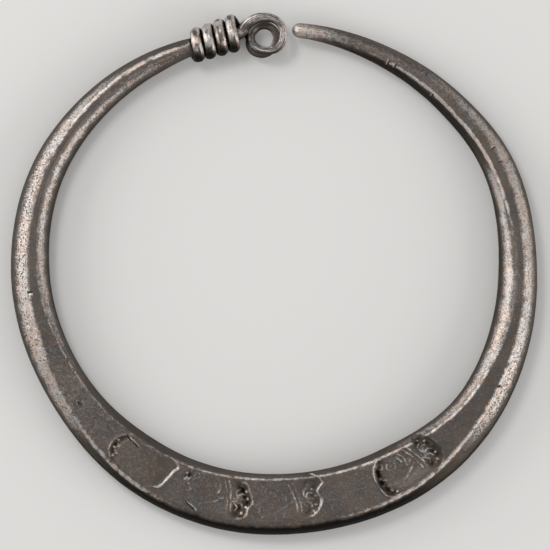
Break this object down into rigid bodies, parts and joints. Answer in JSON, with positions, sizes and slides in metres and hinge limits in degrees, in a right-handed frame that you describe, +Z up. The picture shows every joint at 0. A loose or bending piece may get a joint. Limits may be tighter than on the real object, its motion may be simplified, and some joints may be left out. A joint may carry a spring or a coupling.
{
  "type": "stamped bracelet",
  "caption": "Open silver bracelet, a forged bar stamped along its flat front, tapering to a blunt tip at one end and to a wire eye wound round its neck at the other.",
  "frame": {"origin": "middle of the bracelet's box, at the height of its flat back", "axes": "+Z up out of the stamped front, +Y towards the eye and the tip, +X towards the arm that ends in the tip"},
  "size_m": [0.079, 0.0782, 0.0058],
  "materials": {
    "tarnished_silver": "old hammered silver with a dark warm grey patina, rubbed bright on its edges"
  },
  "bodies": {
    "root": {"bracelet": "tarnished_silver"}
  },
  "joints": []
}
